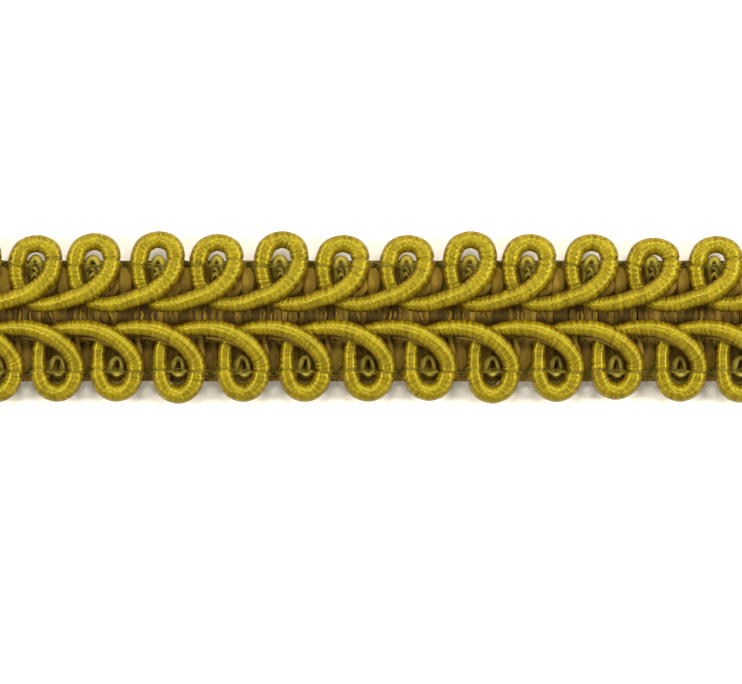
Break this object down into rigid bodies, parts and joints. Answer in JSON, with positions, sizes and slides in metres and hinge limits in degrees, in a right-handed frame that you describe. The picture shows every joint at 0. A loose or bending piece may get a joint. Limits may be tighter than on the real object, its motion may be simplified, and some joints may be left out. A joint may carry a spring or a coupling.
{
  "type": "gimp braid trim",
  "caption": "Flat cut length of gimp braid: two rows of wrapped cord curled into scrolls on a narrow ribbed ground, for covering seams and edges.",
  "frame": {"origin": "on the flat back of the braid, halfway along its length, on the centre line between the two rows of scrolls", "axes": "+X along the braid, +Y across it towards the upper row's loops, +Z out of the face"},
  "size_m": [0.0772, 0.0154, 0.0035],
  "materials": {
    "cord_rayon": "satin wrapped rayon, chartreuse olive",
    "ground_yarn": "matt soft yarn, dark khaki"
  },
  "bodies": {
    "root": {"ground": "ground_yarn", "upper_scrolls": "cord_rayon", "lower_scrolls": "cord_rayon"}
  },
  "joints": []
}
